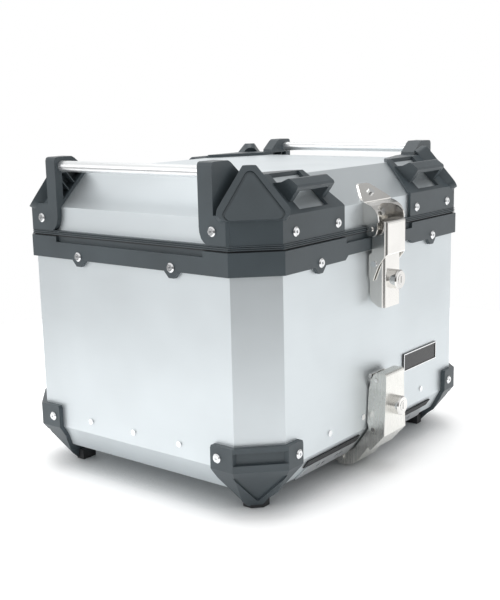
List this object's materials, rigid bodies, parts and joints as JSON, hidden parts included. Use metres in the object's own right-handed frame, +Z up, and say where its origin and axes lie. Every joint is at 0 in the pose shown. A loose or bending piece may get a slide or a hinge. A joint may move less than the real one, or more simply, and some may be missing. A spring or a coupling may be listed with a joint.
{
  "type": "top case",
  "caption": "Motorcycle aluminium top case: box with chamfered corners, hinged lid, moulded corner guards, tie-down bars, a lid latch and a carrier latch, both lockable.",
  "frame": {"origin": "centre of the bounding box in plan, on the plane that the four rubber feet stand on", "axes": "+X to the case's right when looking at the latches, +Y from the latch side to the hinge side, +Z up"},
  "size_m": [0.4486, 0.4018, 0.363],
  "materials": {
    "sheet_aluminium": "satin anodised sheet",
    "bar_aluminium": "satin anodised tube",
    "grey_plastic": "fine grained moulded nylon",
    "black_rubber": "matt",
    "stainless_sheet": "bright rolled stainless sheet",
    "fastener_steel": "bright",
    "lock_chrome": "polished",
    "badge_black": "satin, blank"
  },
  "bodies": {
    "case": {"body_shell": "sheet_aluminium", "base_plate": "stainless_sheet", "rear_tongues": "stainless_sheet", "edge_strips": "black_rubber", "rim_frame": "grey_plastic", "rim_seal": "black_rubber", "corner_protector_fl": "grey_plastic", "corner_protector_fr": "grey_plastic", "corner_protector_rl": "grey_plastic", "corner_protector_rr": "grey_plastic", "foot_fl": "black_rubber", "foot_fr": "black_rubber", "foot_rl": "black_rubber", "foot_rr": "black_rubber", "body_rivets": "fastener_steel", "rim_screws": "fastener_steel", "protector_screws": "fastener_steel", "badge": "badge_black", "latch_base": "stainless_sheet", "latch_base_rivets": "fastener_steel", "lever_pivot_pin": "stainless_sheet", "carrier_latch_base": "stainless_sheet", "carrier_base_rivets": "fastener_steel", "carrier_pivot_pin": "stainless_sheet", "hinge_body_leaf_left": "stainless_sheet", "hinge_body_leaf_right": "stainless_sheet", "hinge_pin_left": "stainless_sheet", "hinge_pin_right": "stainless_sheet", "hinge_body_screws": "fastener_steel"},
    "lid": {"lid_shell": "sheet_aluminium", "lid_frame": "grey_plastic", "lid_corner_fl": "grey_plastic", "lid_corner_fr": "grey_plastic", "lid_corner_rl": "grey_plastic", "lid_corner_rr": "grey_plastic", "tie_bar_left": "bar_aluminium", "tie_bar_right": "bar_aluminium", "lid_corner_screws": "fastener_steel", "lid_strike": "stainless_sheet", "strike_pin": "stainless_sheet", "strike_screws": "fastener_steel", "hinge_lid_leaf_left": "stainless_sheet", "hinge_lid_leaf_right": "stainless_sheet", "hinge_lid_screws": "fastener_steel"},
    "latch_lever_body": {"latch_lever": "stainless_sheet", "lid_lock_housing": "lock_chrome", "latch_link_rivets": "fastener_steel"},
    "latch_link_body": {"latch_link": "stainless_sheet"},
    "lid_lock": {"lid_lock_plug": "lock_chrome", "lid_lock_cam": "stainless_sheet"},
    "carrier_lever_body": {"carrier_lever": "stainless_sheet", "carrier_lock_housing": "lock_chrome", "carrier_arm_pin": "stainless_sheet"},
    "carrier_arm_body": {"carrier_arm": "stainless_sheet", "arm_cross_pin": "stainless_sheet"},
    "carrier_lock": {"carrier_lock_plug": "lock_chrome", "carrier_lock_cam": "stainless_sheet"}
  },
  "joints": [
    {"name": "lid_hinge", "type": "hinge", "parent": "case", "child": "lid", "pos_m": [0, 0.19645, 0.2793], "axis": [-1, 0, 0], "range_deg": [0, 95]},
    {"name": "lid_latch", "type": "hinge", "parent": "case", "child": "latch_lever_body", "pos_m": [0, -0.17755, 0.2455], "axis": [-1, 0, 0], "range_deg": [0, 45]},
    {"name": "latch_link_pivot", "type": "hinge", "parent": "latch_lever_body", "child": "latch_link_body", "pos_m": [0, -0.17505, 0.241], "axis": [-1, 0, 0], "range_deg": [-51.75, 0]},
    {"name": "lid_key", "type": "hinge", "parent": "latch_lever_body", "child": "lid_lock", "pos_m": [0, -0.18655, 0.2226], "axis": [0, -1, 0], "range_deg": [0, 90]},
    {"name": "carrier_latch", "type": "hinge", "parent": "case", "child": "carrier_lever_body", "pos_m": [0, -0.17755, 0.109], "axis": [-1, 0, 0], "range_deg": [0, 75]},
    {"name": "carrier_arm_pivot", "type": "hinge", "parent": "carrier_lever_body", "child": "carrier_arm_body", "pos_m": [0, -0.17555, 0.052], "axis": [-1, 0, 0], "range_deg": [-26.25, 0]},
    {"name": "carrier_key", "type": "hinge", "parent": "carrier_lever_body", "child": "carrier_lock", "pos_m": [0, -0.19055, 0.079], "axis": [0, -1, 0], "range_deg": [0, 90]}
  ],
  "couplings": [
    {"joint": "latch_link_pivot", "follows": "lid_latch", "ratio": -1.15},
    {"joint": "carrier_arm_pivot", "follows": "carrier_latch", "ratio": -0.35}
  ]
}
